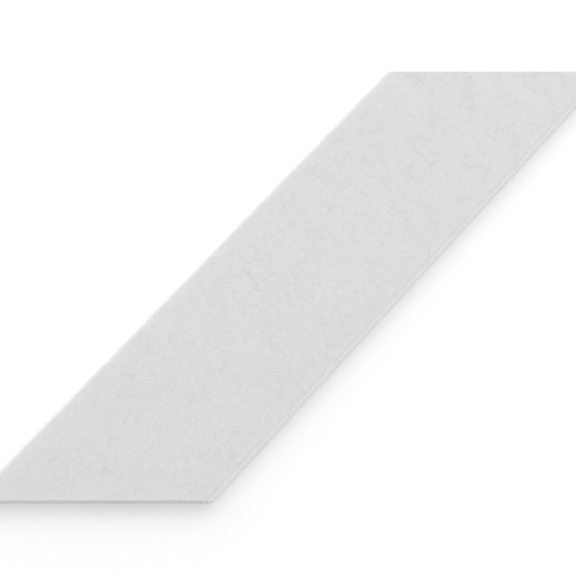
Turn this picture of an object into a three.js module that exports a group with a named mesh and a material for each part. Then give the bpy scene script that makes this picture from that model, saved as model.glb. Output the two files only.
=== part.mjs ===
import * as THREE from 'three';
import { mergeVertices } from 'three/addons/utils/BufferGeometryUtils.js';

// A cut strip of the soft loop half of a hook and loop fastening, lying flat with its pile up.
// Millimetres. +X runs along the tape, +Z is up, and the origin is under the middle of the strip.

// Driving dimensions
const TAPE_WIDTH = 20; // from selvage to selvage
const TAPE_LENGTH = 71; // along either selvage, from cut to cut
const CUT_ANGLE = THREE.MathUtils.degToRad(47.8); // between each scissor cut and the selvage
const TAPE_THICKNESS = 2.0; // ground and loops together
const SELVAGE_WIDTH = 0.15; // the rounded rim of woven edge that the loops leave bare
const SELVAGE_THICKNESS = 0.9;
const SELVAGE_FOOT_ROUND = 0.2;
const PILE_BROW_WIDTH = 0.65; // across the tape, from the foot of the loops to their brow
const PILE_WALL_PULL = 0.75; // how far up from its foot the pile stays steep
const PILE_BROW_PULL = 0.6; // how far out over the brow the pile stays nearly level
const PILE_FALL = 0.08; // how much lower the brow is than the level middle
const PILE_FALL_WIDTH = 2.2;
const FAR_CUT_LEAN = 1.0; // how much shorter the loops are than the ground at the far cut

// The woven edges are a little wavy, and the edge of the pile more so
const SELVAGE_WAVES = [
  { length: 31, height: 0.025, turn: 0.4 },
  { length: 12.3, height: 0.015, turn: 2.1 },
];
const PILE_WAVES = [
  { length: 23.7, height: 0.03, turn: 1.3 },
  { length: 9.1, height: 0.02, turn: 4.4 },
  { length: 4.3, height: 0.01, turn: 0.9 },
];
const RIGHT_SIDE_TURN = 2.6; // sets the waves of one side apart from the other's

const CURVE_SEGMENTS = 6;
const STEPS_ALONG = 56;

// The tape's section, drawn across and up. At either side a rounded rim of selvage carries a steep
// wall of pile, which turns over a brow and then rises gently to the level middle.
function tapeSection() {
  const half = TAPE_WIDTH / 2;
  const foot = half - SELVAGE_WIDTH;
  const brow = foot - PILE_BROW_WIDTH;
  const level = brow - PILE_FALL_WIDTH;
  const fallMiddle = (brow + level) / 2;
  const fallSlope = PILE_FALL / (brow - fallMiddle);
  const browHeight = TAPE_THICKNESS - PILE_FALL;
  const browPull = PILE_BROW_WIDTH * PILE_BROW_PULL;
  const rimTop = SELVAGE_THICKNESS - SELVAGE_WIDTH;
  const wallTop = SELVAGE_THICKNESS + (browHeight - SELVAGE_THICKNESS) * PILE_WALL_PULL;
  const overBrow = new THREE.Vector2(brow + browPull, browHeight - fallSlope * browPull);

  const section = new THREE.Shape();
  section.moveTo(-half + SELVAGE_FOOT_ROUND, 0);
  section.lineTo(half - SELVAGE_FOOT_ROUND, 0);
  section.quadraticCurveTo(half, 0, half, SELVAGE_FOOT_ROUND);
  section.lineTo(half, rimTop);
  section.quadraticCurveTo(half, SELVAGE_THICKNESS, foot, SELVAGE_THICKNESS);
  section.bezierCurveTo(foot, wallTop, overBrow.x, overBrow.y, brow, browHeight);
  section.quadraticCurveTo(fallMiddle, TAPE_THICKNESS, level, TAPE_THICKNESS);
  section.lineTo(-level, TAPE_THICKNESS);
  section.quadraticCurveTo(-fallMiddle, TAPE_THICKNESS, -brow, browHeight);
  section.bezierCurveTo(-overBrow.x, overBrow.y, -foot, wallTop, -foot, SELVAGE_THICKNESS);
  section.quadraticCurveTo(-half, SELVAGE_THICKNESS, -half, rimTop);
  section.lineTo(-half, SELVAGE_FOOT_ROUND);
  section.quadraticCurveTo(-half, 0, -half + SELVAGE_FOOT_ROUND, 0);
  return section;
}

// The sum of a few sine waves, at a distance along the tape
function waviness(waves, along, turn) {
  let offset = 0;
  for (const wave of waves) {
    offset += wave.height * Math.sin((2 * Math.PI * along) / wave.length + wave.turn + turn);
  }
  return offset;
}

// How far a point of the section is moved outwards, so that no edge is drawn with a ruler
function sideShift(along, across) {
  const side = Math.sign(across);
  const turn = side < 0 ? RIGHT_SIDE_TURN : 0;
  const middleOfSelvage = (TAPE_WIDTH - SELVAGE_WIDTH) / 2;
  const waves = Math.abs(across) > middleOfSelvage ? SELVAGE_WAVES : PILE_WAVES;
  return side * waviness(waves, along, turn);
}

// The strip with both ends cut on the slant. Its underside and the top of its pile are level.
function tapeGeometry() {
  const geometry = new THREE.ExtrudeGeometry(tapeSection(), {
    depth: TAPE_LENGTH,
    steps: STEPS_ALONG,
    curveSegments: CURVE_SEGMENTS,
    bevelEnabled: false,
  });
  geometry.deleteAttribute('normal');
  geometry.deleteAttribute('uv');
  const strip = mergeVertices(geometry);
  const place = strip.getAttribute('position');
  const slant = 1 / Math.tan(CUT_ANGLE);
  for (let i = 0; i < place.count; i += 1) {
    const along = place.getZ(i) - TAPE_LENGTH / 2;
    const up = place.getY(i);
    const across = place.getX(i) + sideShift(along, place.getX(i));
    const towardsFarCut = along / TAPE_LENGTH + 0.5;
    const lean = FAR_CUT_LEAN * towardsFarCut * (up / TAPE_THICKNESS);
    place.setXYZ(i, along - slant * across - lean, across, up);
  }
  strip.computeVertexNormals();
  return strip;
}

function loopTape() {
  const cloth = new THREE.MeshStandardMaterial({ color: 0xdbdbdb, roughness: 0.95, metalness: 0 });
  const mesh = new THREE.Mesh(tapeGeometry(), cloth);
  mesh.name = 'loop_tape';
  return mesh;
}

const strip = new THREE.Group();
strip.add(loopTape());

export default strip;
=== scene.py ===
"""Dresses a cut strip of loop tape: woven ground, bed of felted loops, loose loops, selvages and cut ends.

The strip lies flat with its loops up. Lengths are in metres. X runs along the tape, Y across it and Z up.
"""

from __future__ import annotations

import logging
import math
from dataclasses import dataclass, field
from enum import Enum

import bmesh
import bpy
import numpy as np
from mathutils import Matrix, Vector

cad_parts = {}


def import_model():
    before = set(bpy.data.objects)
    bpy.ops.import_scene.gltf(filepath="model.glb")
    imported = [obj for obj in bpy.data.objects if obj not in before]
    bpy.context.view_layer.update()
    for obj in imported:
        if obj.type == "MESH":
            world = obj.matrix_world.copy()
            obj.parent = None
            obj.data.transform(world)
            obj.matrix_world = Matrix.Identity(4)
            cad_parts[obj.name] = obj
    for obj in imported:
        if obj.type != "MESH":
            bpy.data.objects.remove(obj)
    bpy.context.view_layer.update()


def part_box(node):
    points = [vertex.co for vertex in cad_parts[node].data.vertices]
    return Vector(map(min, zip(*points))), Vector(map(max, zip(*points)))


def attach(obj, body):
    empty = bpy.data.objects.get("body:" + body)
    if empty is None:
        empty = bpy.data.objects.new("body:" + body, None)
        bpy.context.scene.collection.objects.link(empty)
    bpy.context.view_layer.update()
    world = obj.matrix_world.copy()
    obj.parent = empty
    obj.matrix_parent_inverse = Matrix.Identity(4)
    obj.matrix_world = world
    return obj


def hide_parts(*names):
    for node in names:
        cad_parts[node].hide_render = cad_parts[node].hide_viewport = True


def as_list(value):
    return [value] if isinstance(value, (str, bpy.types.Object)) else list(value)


LOG = logging.getLogger("loop_tape")

MM = 0.001
FULL_TURN = 2 * math.pi
NODE = "loop_tape"
BODY = "root"
BAKE_MAP = "OFBake"  # the name under which a piece's own map is kept
TONE = "tone"  # the attribute that holds how pale each yarn or filament is

ALONG = (1.0, 0.0, 0.0)
UP = (0.0, 0.0, 1.0)
WHOLE = (0.0, 1.0)  # the range of a share
FLOAT = "NodeSocketFloat"
COLOUR = "NodeSocketColor"

CUT_ANGLE = math.radians(47.8)  # between each scissor cut and the selvage
SELVAGE_WAVE = 0.04 * MM  # how far the selvage wanders from a straight line

Array = np.ndarray
Pair = tuple[Array, Array]
Range = tuple[float, float]
Point = tuple[float, float]
Place = tuple[float, float, float]
Colour = tuple[float, float, float, float]
Object = bpy.types.Object
Socket = bpy.types.NodeSocket
Sockets = dict[str, Socket]
Feeds = dict[object, object]  # values or outputs for a node's inputs, by name or number


def grey(level: float) -> Colour:
    """A neutral colour."""
    return level, level, level, 1.0


def smooth(share: Array) -> Array:
    """Eases a share from 0 to 1, and holds it there outside that range."""
    held = np.clip(share, 0.0, 1.0)
    return held * held * (3.0 - 2.0 * held)


def curve(points: list[Point], steps: int) -> Array:
    """Draws a smooth curve in a plane, by halving between its handles.

    Args:
        points: Its first end, its handles and its last end.
        steps: How many places to draw.

    Returns:
        The places from the first end to the last.
    """
    t = np.linspace(0.0, 1.0, steps)[:, None]
    rungs = [np.ones_like(t) * np.array(point) for point in points]
    while len(rungs) > 1:
        rungs = [low * (1 - t) + high * t for low, high in zip(rungs[:-1], rungs[1:], strict=True)]
    return rungs[0]


def wander(t: Array, step: Array, start: Array, turn: Array, waver: Array, swings: float) -> Pair:
    """Draws filaments that curl and waver over a surface.

    Args:
        t: How far along its filament each point is, from 0 to 1.
        step: Each filament's length between two points.
        start: The direction that it sets out in.
        turn: How far it turns from end to end.
        waver: How far its direction swings to and fro.
        swings: How many times it swings.

    Returns:
        How far along and how far across the tape each point is.
    """
    heading = start + turn * t + waver * np.sin(FULL_TURN * swings * t + start)
    return np.cumsum(np.cos(heading), axis=1) * step, np.cumsum(np.sin(heading), axis=1) * step


def drawn_tones(rng: np.random.Generator, count: int, spread: float) -> Array:
    """Draws how pale each of a number of yarns is, round a tone of a half."""
    return np.clip(rng.normal(0.5, spread, count), 0.0, 1.0)


def put(name: str, data: bpy.types.ID) -> Object:
    """Puts a mesh, a light or a camera in the scene, at the origin.

    Args:
        name: The object's name.
        data: The mesh, light or camera.

    Returns:
        The object.
    """
    thing = bpy.data.objects.new(name, data)
    bpy.context.scene.collection.objects.link(thing)
    return thing


def dressed(name: str, bm: bmesh.types.BMesh, *finishes: Finish) -> Object:
    """Makes an object of a finished bmesh.

    Args:
        name: The object's name.
        bm: Its shape.
        *finishes: What its faces are made of, in the order of their material numbers.

    Returns:
        The object.
    """
    mesh = bpy.data.meshes.new(name)
    bm.to_mesh(mesh)
    bm.free()
    for finish in finishes:
        mesh.materials.append(finish.material())
    return put(name, mesh)


@dataclass(frozen=True)
class TapeForm:
    """The measures that every piece of the tape keeps to."""

    length: float  # along either selvage, from cut to cut
    half_width: float
    height: float  # from the underside to the level where the loops end
    slant: float = 1.0 / math.tan(CUT_ANGLE)  # how far a cut runs along for each metre across
    selvage: float = 0.15 * MM  # the rounded rim of woven edge that the loops leave bare
    selvage_height: float = 0.9 * MM
    brow_width: float = 0.65 * MM  # across the tape, from the foot of the loops to their brow
    fall: float = 0.08 * MM  # how much lower the brow is than the level middle
    fall_width: float = 2.2 * MM
    far_lean: float = 1.0 * MM  # how much shorter the top is than the underside at the far cut

    @classmethod
    def from_frame(cls) -> TapeForm:
        """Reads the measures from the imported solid's box.

        Returns:
            The form of the strip.
        """
        low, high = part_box(NODE)
        half_width = (high.y - low.y) / 2 - SELVAGE_WAVE
        length = (high.x - low.x) - 2 * half_width / math.tan(CUT_ANGLE)
        return cls(length=length, half_width=half_width, height=high.z)

    @property
    def area(self) -> float:
        """The flat area of the cut strip."""
        return self.length * 2 * self.half_width

    @property
    def pile_half_width(self) -> float:
        """Half the width that carries loops."""
        return self.half_width - self.selvage

    def along(self, x: Array, y: Array) -> Array:
        """How far points lie along the tape from its middle, counted parallel to the cuts."""
        return x + self.slant * y

    def far_limit(self, z: Array) -> Array:
        """Where the far cut stops the cloth at a height, in the same count as along."""
        return self.length / 2 - self.far_lean * z / self.height

    def slanted(self, along: Array, y: Array, z: Array) -> Array:
        """Turns places on a square-cut strip into places on the slant-cut one.

        Args:
            along: Distances along the strip from its middle.
            y: Distances across it.
            z: Heights.

        Returns:
            The x of each place.
        """
        share = along / self.length + 0.5
        return along - self.slant * y - self.far_lean * share * z / self.height


@dataclass
class SoftNoise:
    """A smooth random relief from -1 to 1, repeatable from its seed."""

    grain: float  # the usual distance between neighbouring swellings
    seed: int
    size: int = 256
    table: Array = field(init=False)

    def __post_init__(self) -> None:
        """Draws the table of heights that the relief passes through."""
        self.table = np.random.default_rng(self.seed).uniform(-1.0, 1.0, (self.size, self.size))

    def at(self, x: Array, y: Array) -> Array:
        """Reads the relief.

        Args:
            x: Places along the tape.
            y: Places across it.

        Returns:
            A height from -1 to 1 for each place.
        """
        u, v = np.asarray(x) / self.grain, np.asarray(y) / self.grain
        column, row = np.floor(u).astype(int), np.floor(v).astype(int)
        a, b = smooth(u - column), smooth(v - row)
        near, far = column % self.size, (column + 1) % self.size
        low, high = row % self.size, (row + 1) % self.size
        lower = self.table[near, low] * (1 - a) + self.table[far, low] * a
        upper = self.table[near, high] * (1 - a) + self.table[far, high] * a
        return lower * (1 - b) + upper * b


@dataclass
class PileBed:
    """The felted mass of loops under those that show.

    Places on it are counted along its own surface: over, the distance from the middle line across the
    level pile, over the brow and down the wall at the tape's edge.
    """

    form: TapeForm
    depth: float = 0.04 * MM  # how far it lies under the surface that the loops make
    wall_pull: float = 0.75  # how far up from its foot the pile stays steep
    brow_pull: float = 0.6  # how far out over the brow the pile stays nearly level
    fall_points: int = 12
    wall_points: int = 24
    swelling: float = 0.020 * MM
    tufting: float = 0.012 * MM
    overhang: float = 0.05 * MM  # how far a loop may hang over a cut
    broad: SoftNoise = field(default_factory=lambda: SoftNoise(grain=1.9 * MM, seed=11))
    fine: SoftNoise = field(default_factory=lambda: SoftNoise(grain=0.55 * MM, seed=12))
    section: Array = field(init=False)
    over: Array = field(init=False)
    tilt: Array = field(init=False)

    def __post_init__(self) -> None:
        """Draws half the section, from the middle line to the foot of the wall."""
        form = self.form
        foot = form.pile_half_width
        brow = foot - form.brow_width
        level = brow - form.fall_width
        halfway = (brow + level) / 2
        low, high = form.selvage_height, form.height - form.fall
        reach = form.brow_width * self.brow_pull
        drop = form.fall / (brow - halfway) * reach
        steep = low + (high - low) * self.wall_pull
        fall = curve([(level, form.height), (halfway, form.height), (brow, high)], self.fall_points)
        bend = [(brow, high), (brow + reach, high - drop), (foot, steep), (foot, low)]
        wall = curve(bend, self.wall_points)
        self.section = np.concatenate([[(0.0, form.height)], fall, wall[1:]])
        strides = np.diff(self.section, axis=0)
        self.over = np.concatenate([[0.0], np.cumsum(np.linalg.norm(strides, axis=1))])
        turns = np.arctan2(-strides[:, 1], strides[:, 0])
        self.tilt = np.concatenate([[0.0], (turns[1:] + turns[:-1]) / 2, [turns[-1]]])

    @property
    def girth(self) -> float:
        """How far over the pile it is from the middle line to the foot of the wall."""
        return float(self.over[-1])

    def across(self, over: Array) -> Array:
        """The place across the tape of places counted over the pile."""
        return np.sign(over) * np.interp(np.abs(over), self.over, self.section[:, 0])

    def height(self, y: Array) -> Array:
        """The height of the pile's surface at places across the tape."""
        return np.interp(np.abs(y), self.section[:, 0], self.section[:, 1])

    def away(self, over: Array) -> Array:
        """The direction square out of the pile at places over it."""
        tilt = np.interp(np.abs(over), self.over, self.tilt)
        return np.stack([np.zeros_like(tilt), np.sign(over) * np.sin(tilt), np.cos(tilt)], axis=1)

    def lay(self, x: Array, over: Array, lift: Array) -> Pair:
        """Places points on the bed or square above it.

        Args:
            x: Places along the tape.
            over: Places over the pile.
            lift: How far each point is above the bed.

        Returns:
            The y and z of each point.
        """
        y = self.across(over)
        z = np.interp(np.abs(over), self.over, self.section[:, 1])
        tilt = np.interp(np.abs(over), self.over, self.tilt)
        lumps = self.swelling * self.broad.at(x, over) + self.tufting * self.fine.at(x, over)
        raised = lift + lumps - self.depth
        return y + np.sign(over) * raised * np.sin(tilt), z + raised * np.cos(tilt)

    def hold_in(self, x: Array, over: Array) -> Pair:
        """Moves each loop, whole, to where it keeps to the pile and hangs hardly at all over a cut.

        Args:
            x: Each loop's points along the tape.
            over: The same points' places over the pile.

        Returns:
            The moved points.
        """
        over = over - np.clip(over.max(axis=1) - self.girth, 0.0, None)[:, None]
        over = over + np.clip(-self.girth - over.min(axis=1), 0.0, None)[:, None]
        y, z = self.lay(x, over, 0.0)
        along = self.form.along(x, y)
        beyond = along - self.form.far_limit(z) - self.overhang
        short = -self.form.length / 2 - self.overhang - along
        x = x - np.clip(beyond.max(axis=1), 0.0, None)[:, None]
        x = x + np.clip(short.max(axis=1), 0.0, None)[:, None]
        return x, over


@dataclass(frozen=True)
class TubeBlank:
    """One straight yarn of unit radius, whose mesh is laid along many paths."""

    sides: int
    rings: int

    def parts(self) -> tuple[Array, Array, list[list[int]]]:
        """Makes the blank and takes it apart.

        Returns:
            The ring that each vertex belongs to, its angle round the ring, and the faces as vertex numbers.
        """
        bm = bmesh.new()
        bmesh.ops.create_cone(
            bm,
            cap_ends=True,
            cap_tris=False,
            segments=self.sides,
            radius1=1.0,
            radius2=1.0,
            depth=self.rings - 1,
        )
        lengthwise = [e for e in bm.edges if abs(e.verts[0].co.z - e.verts[1].co.z) > 0.5]
        bmesh.ops.subdivide_edges(bm, edges=lengthwise, cuts=self.rings - 2)
        bmesh.ops.recalc_face_normals(bm, faces=bm.faces)
        bm.verts.index_update()
        ring = np.array([round(v.co.z + (self.rings - 1) / 2) for v in bm.verts])
        angle = np.array([math.atan2(v.co.y, v.co.x) for v in bm.verts])
        faces = [[v.index for v in f.verts] for f in bm.faces]
        bm.free()
        return ring, angle, faces


class NodeBench:
    """Places and joins shader nodes in one tree."""

    def __init__(self, tree: bpy.types.NodeTree) -> None:
        """Takes the tree that the nodes go in."""
        self.tree = tree

    def add(self, kind: str, feeds: Feeds | None = None, **settings: object) -> bpy.types.Node:
        """Places a node and feeds its inputs.

        Args:
            kind: The node's type, such as ShaderNodeMath.
            feeds: Values or outputs for its inputs, by name or number.
            **settings: The node's own settings by name.

        Returns:
            The node.
        """
        node = self.tree.nodes.new(kind)
        for name, value in settings.items():
            setattr(node, name, value)
        for name, source in (feeds or {}).items():
            if isinstance(source, Socket):
                self.tree.links.new(source, node.inputs[name])
            else:
                node.inputs[name].default_value = source
        return node

    def place(self) -> Socket:
        """Puts out the place on the piece, in Object coordinates."""
        return self.add("ShaderNodeTexCoord").outputs["Object"]

    def maths(self, operation: str, *sources: object, kind: str = "ShaderNodeMath") -> Socket:
        """Puts out what an operation makes of its sources."""
        return self.add(kind, dict(enumerate(sources)), operation=operation).outputs[0]

    def scaled(self, colour: Socket, factor: object) -> Socket:
        """Puts out a colour, or a vector, multiplied by a number."""
        return self.add("ShaderNodeVectorMath", {0: colour, "Scale": factor}, operation="SCALE").outputs[0]

    def noise(
        self, vector: Socket, scale: object, detail: float, rough: float, every_way: bool = False
    ) -> Socket:
        """Puts out soft noise from -0.5 to 0.5.

        Args:
            vector: The place that it is read at.
            scale: How many swellings there are in a metre.
            detail: How many finer noises are laid over it.
            rough: How strong those are.
            every_way: Whether it is a vector and not a number.

        Returns:
            The noise's socket.
        """
        feeds = {"Vector": vector, "Scale": scale, "Detail": detail, "Roughness": rough}
        node = self.add("ShaderNodeTexNoise", feeds)
        if every_way:
            return self.maths("SUBTRACT", node.outputs["Color"], (0.5, 0.5, 0.5), kind="ShaderNodeVectorMath")
        return self.maths("SUBTRACT", node.outputs["Fac"], 0.5)

    def span(self, value: Socket, old: Range, new: Range) -> Socket:
        """Maps a value from one range to another, held at the ends.

        Args:
            value: The value to map.
            old: The range that it comes from.
            new: The range that it goes to.

        Returns:
            The mapped value's socket.
        """
        feeds = {"Value": value, "From Min": old[0], "From Max": old[1], "To Min": new[0], "To Max": new[1]}
        return self.add("ShaderNodeMapRange", feeds).outputs["Result"]

    def bump(self, height: Socket, distance: float) -> Socket:
        """Puts out the normals of a relief."""
        return self.add("ShaderNodeBump", {"Height": height, "Distance": distance}).outputs[0]


class EffectGroup:
    """A shader node group, built once and placed in each material with that material's values."""

    name = ""
    inputs: tuple[tuple[str, str, object], ...] = ()
    outputs: tuple[tuple[str, str], ...] = ()

    def wire(self, bench: NodeBench, given: Sockets) -> Sockets:
        """Builds the group's inside; each kind of group has its own.

        Args:
            bench: Where its nodes are placed.
            given: The group's inputs by name.

        Returns:
            The socket that feeds each of the group's outputs.
        """
        raise NotImplementedError

    def tree(self) -> bpy.types.NodeTree:
        """Builds the group when it is first asked for.

        Returns:
            The group's node tree.
        """
        tree = bpy.data.node_groups.get(self.name)
        if tree is None:
            tree = bpy.data.node_groups.new(self.name, "ShaderNodeTree")
            for name, kind, value in self.inputs:
                tree.interface.new_socket(name, in_out="INPUT", socket_type=kind).default_value = value
            for name, kind in self.outputs:
                tree.interface.new_socket(name, in_out="OUTPUT", socket_type=kind)
            bench = NodeBench(tree)
            source = bench.add("NodeGroupInput")
            given = {name: source.outputs[name] for name, _, _ in self.inputs}
            bench.add("NodeGroupOutput", self.wire(bench, given))
        return tree

    def set_in(self, bench: NodeBench, feeds: Feeds | None = None) -> bpy.types.NodeOutputs:
        """Puts the group in a material with its values, and gives its outputs."""
        return bench.add("ShaderNodeGroup", feeds, node_tree=self.tree()).outputs


class FibreTangle(EffectGroup):
    """Fine curled fibres lying every way, as a height and as painted shade that darkens the tone between
    them.
    """

    name = "fibre_tangle"
    inputs = (("Fibres per metre", FLOAT, 5200.0), ("Curl", FLOAT, 0.00035))
    outputs = (("Height", FLOAT), ("Tone", FLOAT))
    bends = (1500.0, 2.0, 0.5)  # the scale, detail and roughness of the noise that bends the fibres
    ridges = (1.0, 0.5)  # the detail and roughness of the noise that makes them
    turns = (0.35, 1.5, 2.55)  # of the sets of fibres, in radians
    stretch = (0.16, 1.0, 1.0)  # makes each fibre longer than it is wide
    crest = (0.0, 0.16)  # how far from its middle value the noise still makes a fibre
    tones = (0.965, 1.02)  # painted shade: the tone between the fibres and on them

    def wire(self, bench: NodeBench, given: Sockets) -> Sockets:
        """Lays sets of bent ridges over each other, turned apart.

        Args:
            bench: Where the nodes are placed.
            given: The group's inputs by name.

        Returns:
            The height and tone sockets.
        """
        place = bench.place()
        curl = bench.scaled(bench.noise(place, *self.bends, every_way=True), given["Curl"])
        bent = bench.maths("ADD", place, curl, kind="ShaderNodeVectorMath")
        height: Socket | None = None
        for turn in self.turns:
            feeds = {"Vector": bent, "Rotation": (0.0, 0.0, turn), "Scale": self.stretch}
            turned = bench.add("ShaderNodeMapping", feeds).outputs[0]
            ridge = bench.maths("ABSOLUTE", bench.noise(turned, given["Fibres per metre"], *self.ridges))
            crest = bench.span(ridge, self.crest, (1.0, 0.0))
            height = crest if height is None else bench.maths("MAXIMUM", height, crest)
        return {"Height": height, "Tone": bench.span(height, WHOLE, self.tones)}


class ToneDrift(EffectGroup):
    """The slow change of tone over the whole strip, and the mottle of its tufts."""

    name = "tone_drift"
    inputs = (("Colour", COLOUR, grey(0.8)), ("Mottle", FLOAT, 0.02))
    outputs = (("Colour", COLOUR),)
    tufts = (260.0, 3.0, 0.6)  # the scale, detail and roughness of the noise

    def wire(self, bench: NodeBench, given: Sockets) -> Sockets:
        """Multiplies the colour by a broad noise.

        Args:
            bench: Where the nodes are placed.
            given: The group's inputs by name.

        Returns:
            The colour's socket.
        """
        mottle = bench.maths("MULTIPLY", bench.noise(bench.place(), *self.tufts), given["Mottle"])
        return {"Colour": bench.scaled(given["Colour"], bench.maths("ADD", 1.0, mottle))}


class PlainWeave(EffectGroup):
    """Yarns over and under each other, square to the tape, with painted shade between them."""

    name = "plain_weave"
    inputs = (("Picks per metre", FLOAT, 2500.0), ("Ends per metre", FLOAT, 2200.0))
    outputs = (("Height", FLOAT), ("Tone", FLOAT))
    unevenness = (900.0, 2.0, 0.5)  # the scale, detail and roughness of the noise that moves the yarns
    wobble = 0.35  # how far it moves them, in yarns
    swap = 0.25  # how gently one yarn goes under the other
    tones = (0.90, 1.02)  # painted shade: the tone between the yarns and on them

    def wire(self, bench: NodeBench, given: Sockets) -> Sockets:
        """Crosses a rounded pick and a rounded end in every cell, with each on top by turns.

        Args:
            bench: Where the nodes are placed.
            given: The group's inputs by name.

        Returns:
            The height and tone sockets.
        """
        place = bench.place()
        axes = bench.add("ShaderNodeSeparateXYZ", {0: place}).outputs
        wobble = bench.maths("MULTIPLY", bench.noise(place, *self.unevenness), self.wobble)
        waves = []
        for axis, count in (("X", "Picks per metre"), ("Y", "Ends per metre")):
            number = bench.maths("ADD", bench.maths("MULTIPLY", axes[axis], given[count]), wobble)
            waves.append(bench.maths("SINE", bench.maths("MULTIPLY", number, math.pi)))
        ups = bench.maths("MULTIPLY", *waves)
        shown = []
        for wave, on_top in zip(waves, (WHOLE, (1.0, 0.0)), strict=True):
            share = bench.span(ups, (-self.swap, self.swap), on_top)
            shown.append(bench.maths("MULTIPLY", share, bench.maths("ABSOLUTE", wave)))
        height = bench.maths("ADD", *shown)
        return {"Height": height, "Tone": bench.span(height, WHOLE, self.tones)}


@dataclass(frozen=True)
class Finish:
    """A finish: a Principled surface whose colour, roughness and relief may vary."""

    name: str
    colour: Colour
    roughness: float
    mottle: float = 0.0  # how far the colour drifts over the strip

    def surface(self, bench: NodeBench) -> Feeds:
        """Works out the surface; each finish has its own.

        Args:
            bench: Where its nodes are placed.

        Returns:
            What feeds the Principled node's inputs.
        """
        raise NotImplementedError

    def drifting(self, bench: NodeBench) -> Socket:
        """Puts out the colour with its drift."""
        return ToneDrift().set_in(bench, {"Colour": self.colour, "Mottle": self.mottle})["Colour"]

    def material(self) -> bpy.types.Material:
        """Builds the material when it is first asked for.

        Returns:
            The material.
        """
        material = bpy.data.materials.get(self.name)
        if material is None:
            material = bpy.data.materials.new(self.name)
            material.use_nodes = True
            material.node_tree.nodes.clear()
            bench = NodeBench(material.node_tree)
            shader = bench.add("ShaderNodeBsdfPrincipled", self.surface(bench))
            bench.add("ShaderNodeOutputMaterial", {"Surface": shader.outputs[0]})
        return material


@dataclass(frozen=True)
class FilamentFinish(Finish):
    """Fine, slightly shiny filaments, each in its own tone."""

    name: str = "loop_filament"
    colour: Colour = grey(0.85)
    roughness: float = 0.62
    mottle: float = 0.05
    tone_spread: float = 0.05
    roughness_spread: float = 0.12
    ior: float = 1.45

    def surface(self, bench: NodeBench) -> Feeds:
        """Works out the surface from each filament's tone.

        Args:
            bench: Where the nodes are placed.

        Returns:
            What feeds the Principled node's inputs.
        """
        tone = bench.add("ShaderNodeAttribute", attribute_name=TONE).outputs["Fac"]
        factor = bench.span(tone, WHOLE, (1.0 - self.tone_spread, 1.0 + self.tone_spread))
        rough = (self.roughness + self.roughness_spread, self.roughness - self.roughness_spread)
        return {
            "Base Color": bench.scaled(self.drifting(bench), factor),
            "Roughness": bench.span(tone, WHOLE, rough),
            "IOR": self.ior,
        }


@dataclass(frozen=True)
class SelvageFinish(FilamentFinish):
    """The tight yarns of the selvages, a little darker than the loops: painted shade that stands for the
    self-shade of the pile, which they lack.
    """

    name: str = "selvage_yarn"
    colour: Colour = grey(0.83)


@dataclass(frozen=True)
class CutFinish(FilamentFinish):
    """The filaments that end at a cut, darker than the loops: painted shade that keeps the brightly lit far
    cut from looking washed out.
    """

    name: str = "cut_filament"
    colour: Colour = grey(0.74)


@dataclass(frozen=True)
class BedFinish(Finish):
    """The felted bed that shows between the filaments, coloured darker than them as painted shade."""

    name: str = "felted_bed"
    # painted shade: darker than the filaments, though both are the same nylon, so that the bed matches their
    # shaded sides
    colour: Colour = grey(0.664)
    roughness: float = 0.85
    mottle: float = 0.05
    relief: float = 0.012 * MM
    painted_wall_light: float = 1.28  # painted light: how much paler the wall's colour is made, for the light that would come through the loops at the edge
    # the heights over which the painted wall light fades: full below the first, gone above the second
    wall_level: float = 1.4 * MM
    brow_level: float = 1.93 * MM

    def surface(self, bench: NodeBench) -> Feeds:
        """Works out the surface of a tangle of fibres, with painted shade between the fibres and painted
        light that makes it paler down the wall.

        Args:
            bench: Where the nodes are placed.

        Returns:
            What feeds the Principled node's inputs.
        """
        tangle = FibreTangle().set_in(bench)
        height = bench.add("ShaderNodeSeparateXYZ", {0: bench.place()}).outputs["Z"]
        # painted light: the colour is made paler down the wall, fading out towards the brow
        glow = bench.span(height, (self.wall_level, self.brow_level), (self.painted_wall_light, 1.0))
        felt = bench.scaled(self.drifting(bench), tangle["Tone"])
        return {
            "Base Color": bench.scaled(felt, glow),
            "Roughness": self.roughness,
            "Normal": bench.bump(tangle["Height"], self.relief),
        }


@dataclass(frozen=True)
class GroundFinish(Finish):
    """The plain woven ground, as it shows on the underside and at the cuts."""

    name: str = "woven_ground"
    # painted shade: darker than the loops, so that the cuts, the far one lit straight on, are not washed out
    colour: Colour = grey(0.68)
    roughness: float = 0.72
    mottle: float = 0.04
    relief: float = 0.09 * MM

    def surface(self, bench: NodeBench) -> Feeds:
        """Works out the surface of the weave, with its painted shade between the yarns.

        Args:
            bench: Where the nodes are placed.

        Returns:
            What feeds the Principled node's inputs.
        """
        weave = PlainWeave().set_in(bench)
        return {
            "Base Color": bench.scaled(self.drifting(bench), weave["Tone"]),
            "Roughness": self.roughness,
            "Normal": bench.bump(weave["Height"], self.relief),
        }


@dataclass(frozen=True)
class FloorFinish(Finish):
    """A plain pale floor without a shine."""

    name: str = "pale_floor"
    colour: Colour = grey(0.95)
    roughness: float = 0.9

    def surface(self, bench: NodeBench) -> Feeds:
        """Gives the floor's plain colour, which needs no nodes."""
        return {"Base Color": self.colour, "Roughness": self.roughness, "Specular IOR Level": 0.0}


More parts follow.
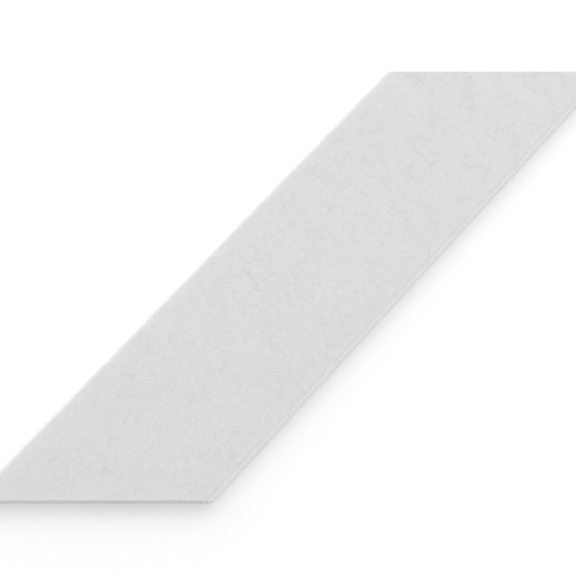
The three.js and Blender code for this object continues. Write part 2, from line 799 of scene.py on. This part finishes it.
@dataclass
class YarnBundle:
    """Many yarns of one kind, joined in one mesh, each in a cell of its own on the piece's map."""

    name: str
    finish: Finish
    paths: Array  # for each yarn, a point for each ring
    sideways: Array | Place  # a direction that the paths never take, for each or for all
    radii: Array | float  # for each yarn and ring, or for all
    tones: Array  # for each yarn, how pale it is
    sides: int = 3
    rounded: bool = False  # shaded as round, for yarns thick enough to show it
    margin: float = 0.06  # of a cell, round what is unrolled in it
    unrolled: float = 0.6  # how much of a cell's height a yarn's girth takes
    cap_row: float = 0.9  # how high up in a cell its two ends are
    cap_size: Point = (0.03, 0.04)

    def skin(self, ring: Array, angle: Array) -> Array:
        """Lays the blank along every path.

        Args:
            ring: The ring of each of the blank's vertices.
            angle: Its angle round the ring.

        Returns:
            The place of each vertex of each yarn.
        """
        onward = np.gradient(self.paths, axis=1)
        onward /= np.linalg.norm(onward, axis=2, keepdims=True)
        side = np.reshape(self.sideways, (-1, 1, 3)) * np.ones_like(onward)
        side = side - (side * onward).sum(axis=2, keepdims=True) * onward
        side /= np.linalg.norm(side, axis=2, keepdims=True)
        out = np.cross(onward, side)
        round_it = np.cos(angle)[None, :, None] * side[:, ring] + np.sin(angle)[None, :, None] * out[:, ring]
        radii = np.broadcast_to(self.radii, self.paths.shape[:2])
        return self.paths[:, ring] + radii[:, ring, None] * round_it

    def map_corners(self, ring: Array, angle: Array, face: list[int]) -> list[Point]:
        """Unrolls one face of the blank in a cell of the map.

        Args:
            ring: The ring of each of the blank's vertices.
            angle: Its angle round the ring.
            face: The face's vertices.

        Returns:
            The place in the cell of each of its corners.
        """
        far = 1.0 - self.margin
        if len({ring[v] for v in face}) == 1:
            wide, high = self.cap_size
            middle = far if ring[face[0]] else self.margin
            offsets = [(wide * math.cos(angle[v]), high * math.sin(angle[v])) for v in face]
            return [(middle + across, self.cap_row + up) for across, up in offsets]
        turns = [float(angle[v] / FULL_TURN % 1.0) for v in face]
        if max(turns) - min(turns) > 0.5:  # the face crosses the seam
            turns = [turn + 1.0 if turn < 0.5 else turn for turn in turns]
        step = (far - self.margin) / (self.paths.shape[1] - 1)
        rows = [self.margin + self.unrolled * turn for turn in turns]
        return [(self.margin + step * ring[v], row) for v, row in zip(face, rows, strict=True)]

    def map_cells(self, corners: Array) -> Array:
        """Gives every yarn a cell of the map.

        Args:
            corners: The place in a cell of each of the blank's face corners.

        Returns:
            The map place of each face corner of each yarn.
        """
        count = len(self.paths)
        columns = max(1, math.ceil(math.sqrt(count / 2)))  # a cell is about twice as wide as it is high
        rows = math.ceil(count / columns)
        cell = np.stack([np.arange(count) % columns, np.arange(count) // columns], axis=1)
        return (cell[:, None, :] + corners[None, :, :]) / np.array([columns, rows])

    def build(self) -> Object:
        """Joins the yarns.

        Returns:
            The object, at the origin, with its tone attribute and map.
        """
        ring, angle, faces = TubeBlank(self.sides, self.paths.shape[1]).parts()
        places = self.skin(ring, angle)
        count, each = places.shape[:2]
        all_faces = [[v + first for v in face] for first in range(0, count * each, each) for face in faces]
        corners = np.array([corner for face in faces for corner in self.map_corners(ring, angle, face)])

        mesh = bpy.data.meshes.new(self.name)
        mesh.from_pydata(places.reshape(-1, 3).tolist(), [], all_faces)
        mesh.polygons.foreach_set("use_smooth", np.full(len(all_faces), self.rounded))
        tone = mesh.attributes.new(TONE, "FLOAT", "POINT")
        tone.data.foreach_set("value", np.repeat(self.tones, each).astype(np.float32))
        chart = mesh.uv_layers.new(name=BAKE_MAP)
        chart.data.foreach_set("uv", self.map_cells(corners).astype(np.float32).ravel())
        mesh.materials.append(self.finish.material())
        return put(self.name, mesh)


@dataclass
class GroundSheet:
    """The woven ground with the felted bed of loops on it, as one closed sheet."""

    bed: PileBed
    steps_along: int = 350
    steps_across: int = 64
    wall_steps: int = 12  # of those across, how many go down the brow and wall at either side
    rim_inset: float = 0.30 * MM  # how far the underside stops short of the selvage yarns' outer face
    foot: float = 0.02 * MM  # clears the surface that the selvage yarns rest on

    def stations(self) -> Array:
        """Spreads the sheet's lengthwise rows, closest on the brows and walls.

        Returns:
            A place over the pile for each row of vertices.
        """
        girth = self.bed.girth
        wall = girth - (self.bed.form.pile_half_width - self.bed.form.brow_width)
        level_steps = self.steps_across - 2 * self.wall_steps
        marks = np.array([-girth, wall - girth, girth - wall, girth])
        weights = np.cumsum([0, self.wall_steps, level_steps, self.wall_steps])
        return np.interp(np.arange(self.steps_across + 1), weights, marks)

    def shape(self, bm: bmesh.types.BMesh) -> Array:
        """Moves the flat block's vertices to the tape's form.

        Args:
            bm: The block, from -1 to 1 each way, with its two faces apart in height.

        Returns:
            Whether each vertex is on the underside.
        """
        form = self.bed.form
        flat = np.array([v.co for v in bm.verts])
        lower = flat[:, 2] < (flat[:, 2].max() + flat[:, 2].min()) / 2
        row = np.rint((flat[:, 1] + 1.0) / 2.0 * self.steps_across).astype(int)
        over = self.stations()[np.clip(row, 0, self.steps_across)]
        along = flat[:, 0] * form.length / 2
        level = self.bed.across(over)
        y, z = self.bed.lay(form.slanted(along, level, np.zeros_like(along)), over, 0.0)
        inwards = (form.half_width - self.rim_inset) / form.pile_half_width
        y = np.where(lower, level * inwards, y)
        z = np.where(lower, self.foot, z)
        x = form.slanted(along, y, z)
        for vert, place in zip(bm.verts, np.stack([x, y, z], axis=1), strict=True):
            vert.co = place
        bm.verts.index_update()
        return lower

    def build(self) -> Object:
        """Builds the sheet.

        Returns:
            The object, with the bed's finish on top and the ground's elsewhere.
        """
        bm = bmesh.new()
        bmesh.ops.create_grid(bm, x_segments=self.steps_along, y_segments=self.steps_across, size=1.0)
        bmesh.ops.solidify(bm, geom=bm.faces[:], thickness=0.5)
        lower = self.shape(bm)
        bmesh.ops.recalc_face_normals(bm, faces=bm.faces)
        for face in bm.faces:
            below = sum(lower[vert.index] for vert in face.verts)
            face.smooth = below in (0, len(face.verts))
            face.material_index = 0 if below == 0 else 1
        return dressed("ground_sheet", bm, BedFinish(), GroundFinish())


class Layer(Enum):
    """The layers of loops, from those pressed into the bed to those that stand up."""

    PRESSED = "pressed_loops"
    MATTED = "matted_loops"
    TOP = "top_loops"
    STANDING = "standing_loops"


@dataclass(frozen=True)
class LayerForm:
    """How the loops of one layer are spread and shaped."""

    seed: int
    span: Range  # a lying loop's length, or the gap between a standing one's feet
    crown: Range  # over the bed
    curl: Range  # how far a lying loop turns, or how far a standing one leans, in radians
    radius: float
    pitch: float = 0.625 * MM  # between neighbouring loops
    rings: int = 9
    bulge: float = 0.0  # how much wider a standing loop is than its feet


LAYERS = {
    Layer.PRESSED: LayerForm(
        seed=21,
        span=(1.6 * MM, 3.0 * MM),
        crown=(-0.004 * MM, 0.010 * MM),
        curl=(1.2, 4.2),
        radius=0.0055 * MM,
    ),
    Layer.MATTED: LayerForm(
        seed=22,
        span=(1.6 * MM, 2.8 * MM),
        crown=(0.006 * MM, 0.022 * MM),
        curl=(1.4, 4.6),
        radius=0.005 * MM,
    ),
    Layer.TOP: LayerForm(
        seed=23,
        span=(1.5 * MM, 2.6 * MM),
        crown=(0.015 * MM, 0.045 * MM),
        curl=(1.6, 5.0),
        radius=0.0048 * MM,
    ),
    Layer.STANDING: LayerForm(
        seed=24,
        span=(0.06 * MM, 0.24 * MM),
        crown=(0.06 * MM, 0.15 * MM),
        curl=(-1.3, 1.3),
        radius=0.0045 * MM,
        pitch=0.72 * MM,
        rings=10,
        bulge=0.11 * MM,
    ),
}


@dataclass
class LoopLayer:
    """One layer of loops all over the pile."""

    bed: PileBed
    layer: Layer
    bury: float = 0.05 * MM  # how deep a loop's feet go in the bed
    waver: Range = (0.2, 0.9)  # how far a lying loop swings to and fro, in radians
    swings: float = 1.3  # how many times it does
    ripple: float = 0.006 * MM  # how far a lying loop waves up and down
    ripples: float = 1.7  # how many times it does
    fullness: Range = (0.6, 1.2)  # how unlike the standing loops' bulges are
    thickness: Range = (0.85, 1.15)  # how unlike the loops' radii are
    tone_spread: float = 0.2
    plunge: int = 4  # how suddenly a loop's feet turn down into the bed

    def places(self, rng: np.random.Generator, pitch: float) -> Pair:
        """Spreads the loops on a loose grid.

        Args:
            rng: The source of the draws.
            pitch: The grid's spacing.

        Returns:
            The x of each loop's middle, and its place over the pile.
        """
        form, girth = self.bed.form, self.bed.girth
        columns = int(form.length / pitch)
        rows = int(2 * girth / pitch)
        i, j = np.meshgrid(np.arange(columns), np.arange(rows), indexing="ij")
        i = i.ravel() + rng.uniform(0.0, 1.0, columns * rows)
        j = j.ravel() + rng.uniform(0.0, 1.0, columns * rows)
        over = (j / rows * 2 - 1) * girth
        return (i / columns - 0.5) * form.length - form.slant * self.bed.across(over), over

    def lying(self, rng: np.random.Generator, kind: LayerForm) -> Pair:
        """Draws loops that lie curled on the bed.

        Args:
            rng: The source of the draws.
            kind: The layer's form.

        Returns:
            The loops' paths, and for each loop a direction that its path never takes.
        """
        x0, over0 = self.places(rng, kind.pitch)
        count = len(x0)
        t = np.linspace(0.0, 1.0, kind.rings)[None, :]
        length = rng.uniform(*kind.span, count)[:, None]
        start = rng.uniform(0.0, FULL_TURN, count)[:, None]
        turn = (rng.uniform(*kind.curl, count) * rng.choice((-1.0, 1.0), count))[:, None]
        waver = rng.uniform(*self.waver, count)[:, None]
        x, over = wander(t, length / (kind.rings - 1), start, turn, waver, self.swings)
        x += x0[:, None] - x.mean(axis=1, keepdims=True)
        over += over0[:, None] - over.mean(axis=1, keepdims=True)
        x, over = self.bed.hold_in(x, over)
        crown = rng.uniform(*kind.crown, count)[:, None]
        ends = np.abs(2 * t - 1) ** self.plunge
        ripple = self.ripple * np.sin(FULL_TURN * self.ripples * t + 2 * start)
        y, z = self.bed.lay(x, over, (crown + ripple) * (1 - ends) - self.bury * ends)
        return np.stack([x, y, z], axis=2), self.bed.away(over0)

    def standing(self, rng: np.random.Generator, kind: LayerForm) -> Pair:
        """Draws round loops that stand on the bed, each leaning its own way.

        Args:
            rng: The source of the draws.
            kind: The layer's form.

        Returns:
            The loops' paths, and for each loop the direction square to its plane.
        """
        x0, over0 = self.places(rng, kind.pitch)
        count = len(x0)
        t = np.linspace(0.0, 1.0, kind.rings)[None, :]
        heading = rng.uniform(0.0, FULL_TURN, count)[:, None]
        lean = rng.uniform(*kind.curl, count)[:, None]
        gap = rng.uniform(*kind.span, count)[:, None]
        bulge = kind.bulge * rng.uniform(*self.fullness, count)[:, None]
        tall = rng.uniform(*kind.crown, count)[:, None]
        onward = (t - 0.5) * gap - bulge * np.sin(FULL_TURN * t)
        rise = tall * (1 - np.cos(FULL_TURN * t)) / 2
        aside = rise * np.sin(lean)
        x = x0[:, None] + onward * np.cos(heading) - aside * np.sin(heading)
        over = over0[:, None] + onward * np.sin(heading) + aside * np.cos(heading)
        x, over = self.bed.hold_in(x, over)
        y, z = self.bed.lay(x, over, rise * np.cos(lean) - self.bury * np.abs(2 * t - 1) ** self.plunge)
        out = self.bed.away(over0)
        along = np.array([ALONG])
        level = -np.sin(heading) * along + np.cos(heading) * np.cross(out, along)
        return np.stack([x, y, z], axis=2), np.cos(lean) * level - np.sin(lean) * out

    def build(self) -> Object:
        """Builds the layer.

        Returns:
            The object.
        """
        kind = LAYERS[self.layer]
        rng = np.random.default_rng(kind.seed)
        draw = self.standing if self.layer is Layer.STANDING else self.lying
        paths, sideways = draw(rng, kind)
        count = len(paths)
        radii = kind.radius * rng.uniform(*self.thickness, (count, 1))
        tones = drawn_tones(rng, count, self.tone_spread)
        return YarnBundle(self.layer.value, FilamentFinish(), paths, sideways, radii, tones).build()


@dataclass
class CutEnds:
    """The cut yarns of the ground and the cut loops over them, at one end of the strip."""

    bed: PileBed
    end: int  # -1 for the near cut, 1 for the far one
    seed: int = 60
    loop_seed: int = 10  # how far the loops' own seed is from the yarns'
    yarn_pitch: float = 0.36 * MM
    yarn_levels: tuple[float, ...] = (0.20 * MM, 0.46 * MM)
    strands: int = 5  # in each yarn
    strand_radius: float = 0.035 * MM
    scatter: float = 0.10 * MM  # how far the strands lie from the middle of their yarn
    loops: int = 700
    loop_radius: float = 0.018 * MM
    pile_foot: float = 0.60 * MM  # where the loops come out of the ground
    reach: Range = (0.01 * MM, 0.07 * MM)  # how far the cut filaments stick out
    splay: Point = (0.05 * MM, 0.04 * MM)  # how far they bend, across and up
    taper: float = 0.3  # how much thinner their tips are
    root: float = 0.5 * MM  # how far back from the cut they start
    rings: int = 4
    tone_spread: float = 0.2

    def bundle(self, name: str, y: Array, z: Array, radius: float, seed: int) -> Object:
        """Builds short filaments that end at the cut.

        Args:
            name: The object's name.
            y: Each filament's place across the tape.
            z: Its height.
            radius: How thick it is.
            seed: The seed of its draws.

        Returns:
            The object.
        """
        form, count = self.bed.form, len(y)
        rng = np.random.default_rng(seed)
        t = np.linspace(0.0, 1.0, self.rings)[None, :]
        limit = form.far_limit(z) if self.end > 0 else np.full(count, -form.length / 2)
        outward = rng.uniform(*self.reach, count)[:, None]
        along = limit[:, None] + self.end * (-self.root + (self.root + outward) * t)
        across = y[:, None] + rng.normal(0.0, self.splay[0], count)[:, None] * t**2
        up = np.maximum(z[:, None] + rng.normal(0.0, self.splay[1], count)[:, None] * t**2, radius)
        paths = np.stack([along - form.slant * across, across, up], axis=2)
        tones = drawn_tones(rng, count, self.tone_spread)
        return YarnBundle(name, CutFinish(), paths, UP, radius * (1.0 - self.taper * t**4), tones).build()

    def build(self) -> list[Object]:
        """Builds the ground's cut yarns and the pile's cut loops.

        Returns:
            The two objects.
        """
        side = "near" if self.end < 0 else "far"
        seed = self.seed + self.end
        rng = np.random.default_rng(seed)
        reach = self.bed.form.half_width - self.yarn_pitch
        places = np.arange(-reach, reach, self.yarn_pitch)
        y = np.repeat(np.tile(places, len(self.yarn_levels)), self.strands)
        z = np.repeat(np.repeat(self.yarn_levels, len(places)), self.strands)
        y = y + rng.uniform(-self.scatter, self.scatter, len(y))
        z = z + rng.uniform(-self.scatter, self.scatter, len(z))
        yarns = self.bundle(f"cut_ground_{side}", y, z, self.strand_radius, seed)
        half = self.bed.form.pile_half_width - self.loop_radius
        y = rng.uniform(-half, half, self.loops)
        top = self.bed.height(y) - self.bed.depth
        z = self.pile_foot + (top - self.pile_foot) * rng.uniform(0.0, 1.0, len(y))
        loops = self.bundle(f"cut_loops_{side}", y, z, self.loop_radius, seed + self.loop_seed)
        return [yarns, loops]


@dataclass
class StrayHairs:
    """Single long filaments that have worked loose and lie over the pile."""

    bed: PileBed
    seed: int = 81
    count: int = 150
    length: Range = (1.2 * MM, 3.4 * MM)
    radius: float = 0.013 * MM
    rings: int = 20
    curl: float = 2.4  # how far most of them turn, in radians
    waver: Range = (0.3, 1.2)  # how far they swing to and fro, in radians
    swings: float = 2.1  # how many times they do
    lift: float = 0.09 * MM
    lifted: Range = (0.5, 1.0)  # the share of the lift that each reaches
    arches: float = 1.5  # how many times each rises from the pile
    edge: float = 0.8 * MM  # how far inside the brow they start
    shy: float = 0.04  # how much of the length at either cut has none start in it

    def build(self) -> Object:
        """Builds the hairs.

        Returns:
            The object.
        """
        form, count = self.bed.form, self.count
        rng = np.random.default_rng(self.seed)
        t = np.linspace(0.0, 1.0, self.rings)[None, :]
        start = rng.uniform(0.0, FULL_TURN, count)[:, None]
        turn = rng.normal(0.0, self.curl, count)[:, None]
        waver = rng.uniform(*self.waver, count)[:, None]
        step = rng.uniform(*self.length, count)[:, None] / (self.rings - 1)
        half = form.pile_half_width - form.brow_width - self.edge
        over = rng.uniform(-half, half, count)[:, None]
        share = rng.uniform(self.shy - 0.5, 0.5 - self.shy, count)[:, None]
        onward, aside = wander(t, step, start, turn, waver, self.swings)
        x = share * form.length - form.slant * over + onward
        x, over = self.bed.hold_in(x, over + aside)
        arch = 0.5 + 0.5 * np.sin(FULL_TURN * self.arches * t + start)
        y, z = self.bed.lay(x, over, self.lift * rng.uniform(*self.lifted, (count, 1)) * arch)
        paths = np.stack([x, y, z], axis=2)
        tones = rng.uniform(0.0, 1.0, count)
        return YarnBundle("stray_hairs", FilamentFinish(), paths, UP, self.radius, tones).build()


@dataclass
class SelvageYarns:
    """The woven edge on one side: ends along the tape, and picks that turn round its rim."""

    form: TapeForm
    side: int  # 1 for the left edge as the tape runs away, -1 for the right
    seed: int = 40
    sides: int = 6  # of each yarn's mesh
    pick_pitch: float = 0.40 * MM
    pick_radius: float = 0.13 * MM
    pick_drift: float = 0.012 * MM  # how unevenly the picks are beaten up
    pick_tones: float = 0.15
    pick_start: tuple[float, ...] = (0.65 * MM, 0.50 * MM)  # points in from the rim, under the pile
    pick_return: tuple[float, ...] = (0.62 * MM, 0.85 * MM, 1.1 * MM)  # points in from it, underneath
    arc_points: int = 7  # round the rim
    end_radius: float = 0.10 * MM
    end_inset: float = 0.20 * MM  # of the ends' middle, in from the rim
    end_levels: tuple[float, ...] = (0.24 * MM, 0.45 * MM, 0.66 * MM)
    end_wave: float = 0.035 * MM
    end_tones: Range = (0.4, 0.6)
    rings_a_pick: int = 4
    long_wave: Point = (31 * MM, 0.3)  # how long it is, and its share of the selvage's wandering
    short_wave: Point = (12 * MM, 0.2)

    def yarns(self, kind: str, paths: list[Array], sideways: Place, radius: float, tones: Array) -> Object:
        """Builds one of the edge's two sets of yarns.

        Args:
            kind: Which set it is.
            paths: Each yarn's path.
            sideways: A direction that the paths never take.
            radius: How thick the yarns are.
            tones: How pale each of them is.

        Returns:
            The object.
        """
        name = f"selvage_{kind}_{'left' if self.side > 0 else 'right'}"
        stack = np.array(paths)
        return YarnBundle(name, SelvageFinish(), stack, sideways, radius, tones, self.sides, True).build()

    def outer(self, x: Array) -> Array:
        """The rim's place across the tape, with the little that it wanders.

        Args:
            x: Places along the tape.

        Returns:
            A distance from the tape's middle for each.
        """
        long_sine = np.sin(FULL_TURN * x / self.long_wave[0] + self.side)
        short_sine = np.sin(FULL_TURN * x / self.short_wave[0])
        wandering = self.long_wave[1] * long_sine + self.short_wave[1] * short_sine
        return self.form.half_width + SELVAGE_WAVE * wandering

    def limits(self) -> Range:
        """Where the two cuts cross the selvage.

        Returns:
            The x of the near and far cut.
        """
        form = self.form
        y = self.side * form.half_width
        near = -form.length / 2 - form.slant * y
        return near, float(form.far_limit(form.selvage_height)) - form.slant * y

    def ends(self) -> Object:
        """Builds the ends, which show between the picks along the rim and wave in and out of them.

        Returns:
            The object.
        """
        rings = int(self.form.length / self.pick_pitch * self.rings_a_pick)
        near, far = self.limits()
        x = near + (far - near) * np.linspace(0.0, 1.0, rings)
        paths = []
        for number, level in enumerate(self.end_levels):
            wave = self.end_wave * np.sin(math.pi * (x / self.pick_pitch + number))
            y = self.side * (self.outer(x) - self.end_inset + wave)
            paths.append(np.stack([x, y, np.full(rings, level)], axis=1))
        tones = np.linspace(*self.end_tones, len(paths))
        return self.yarns("ends", paths, UP, self.end_radius, tones)

    def turn(self, rim: float) -> Pair:
        """The path of one pick: out from under the pile, round the rim, and back underneath.

        Args:
            rim: The place across the tape of the rim's outer face.

        Returns:
            The distances from the tape's middle and the heights.
        """
        low = self.pick_radius
        high = self.form.selvage_height - self.pick_radius
        radius = (high - low) / 2
        arc = np.linspace(math.pi / 2, -math.pi / 2, self.arc_points)
        start, back = np.array(self.pick_start), np.array(self.pick_return)
        inner = rim - self.pick_radius - radius
        across = np.concatenate([rim - start, inner + radius * np.cos(arc), rim - back])
        heights = (high + low) / 2 + radius * np.sin(arc)
        return across, np.concatenate([np.full(len(start), high), heights, np.full(len(back), low)])

    def picks(self) -> Object:
        """Builds the picks where they turn back at the rim.

        Returns:
            The object.
        """
        rng = np.random.default_rng(self.seed + self.side)
        near, far = self.limits()
        count = int((far - near) / self.pick_pitch)
        places = near + (np.arange(count) + 0.5) * self.pick_pitch
        paths = []
        for x in places:
            across, up = self.turn(float(self.outer(np.array(x))))
            along = np.full(len(up), x + rng.normal(0.0, self.pick_drift))
            paths.append(np.stack([along, self.side * across, up], axis=1))
        tones = drawn_tones(rng, count, self.pick_tones)
        return self.yarns("picks", paths, ALONG, self.pick_radius, tones)

    def build(self) -> list[Object]:
        """Builds the side's ends and picks."""
        return [self.ends(), self.picks()]


@dataclass(frozen=True)
class SoftBox:
    """A rectangular soft light, aimed at the middle of the tape."""

    name: str
    place: Place
    width: float
    height: float
    power: float

    def build(self) -> None:
        """Hangs the light."""
        light = bpy.data.lights.new(self.name, "AREA")
        light.shape = "RECTANGLE"
        light.size, light.size_y = self.width, self.height
        light.energy = self.power
        lamp = put(self.name, light)
        lamp.location = self.place
        lamp.rotation_euler = (-Vector(self.place)).to_track_quat("-Z", "Y").to_euler()
        lamp.visible_camera = False


@dataclass
class Studio:
    """The pale floor, the soft light and the camera."""

    floor_size: float = 0.7
    ambient: float = 0.86
    lens: float = 85.0
    clip: Range = (0.005, 20.0)
    azimuth: float = -47.8
    elevation: float = 73.4
    distance: float = 0.1589
    aim: Place = (-0.00218, 0.00062, 0.0)
    lights: tuple[SoftBox, ...] = (
        SoftBox("far_left", place=(0.082, 0.360, 0.258), width=0.6, height=0.4, power=0.70),
        SoftBox("far_end", place=(0.160, -0.008, 0.190), width=0.25, height=0.20, power=0.085),
    )

    def floor(self) -> None:
        """Lays the floor."""
        bm = bmesh.new()
        bmesh.ops.create_grid(bm, x_segments=1, y_segments=1, size=self.floor_size / 2)
        dressed("floor", bm, FloorFinish())

    def sky(self) -> None:
        """Sets an even dim light all round, which the camera sees as white."""
        world = bpy.data.worlds.new("studio")
        world.use_nodes = True
        world.node_tree.nodes.clear()
        bench = NodeBench(world.node_tree)
        seen = bench.add("ShaderNodeLightPath").outputs["Is Camera Ray"]
        strength = bench.maths("MAXIMUM", seen, self.ambient)
        glow = bench.add("ShaderNodeBackground", {"Color": grey(1.0), "Strength": strength})
        bench.add("ShaderNodeOutputWorld", {"Surface": glow.outputs[0]})
        bpy.context.scene.world = world

    def camera(self) -> None:
        """Sets the camera at the photograph's angle."""
        data = bpy.data.cameras.new("camera")
        data.lens = self.lens
        data.clip_start, data.clip_end = self.clip
        a, e = math.radians(self.azimuth), math.radians(self.elevation)
        back = Vector((math.sin(a) * math.cos(e), -math.cos(a) * math.cos(e), math.sin(e)))
        camera = put("camera", data)
        camera.location = Vector(self.aim) + back * self.distance
        camera.rotation_euler = (-back).to_track_quat("-Z", "Y").to_euler()
        bpy.context.scene.camera = camera

    def build(self) -> None:
        """Sets the floor, the lights, the camera and a plain view of colour."""
        self.floor()
        self.sky()
        self.camera()
        for light in self.lights:
            light.build()
        bpy.context.scene.view_settings.view_transform = "Standard"


def main() -> None:
    """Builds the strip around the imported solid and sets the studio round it."""
    logging.basicConfig(level=logging.INFO, format="%(name)s: %(message)s")
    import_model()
    form = TapeForm.from_frame()
    bed = PileBed(form)
    Studio().build()

    sheet = GroundSheet(bed).build()
    loose = [LoopLayer(bed, layer).build() for layer in Layer]
    loose.append(StrayHairs(bed).build())
    for side in (1, -1):
        loose += SelvageYarns(form, side).build()
        loose += CutEnds(bed, side).build()
    for piece in [sheet, *loose]:
        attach(piece, BODY)
        LOG.info("%s: %d faces", piece.name, len(piece.data.polygons))
    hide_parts(NODE)
    form.area
    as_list(loose)


if __name__ == "__main__":
    main()
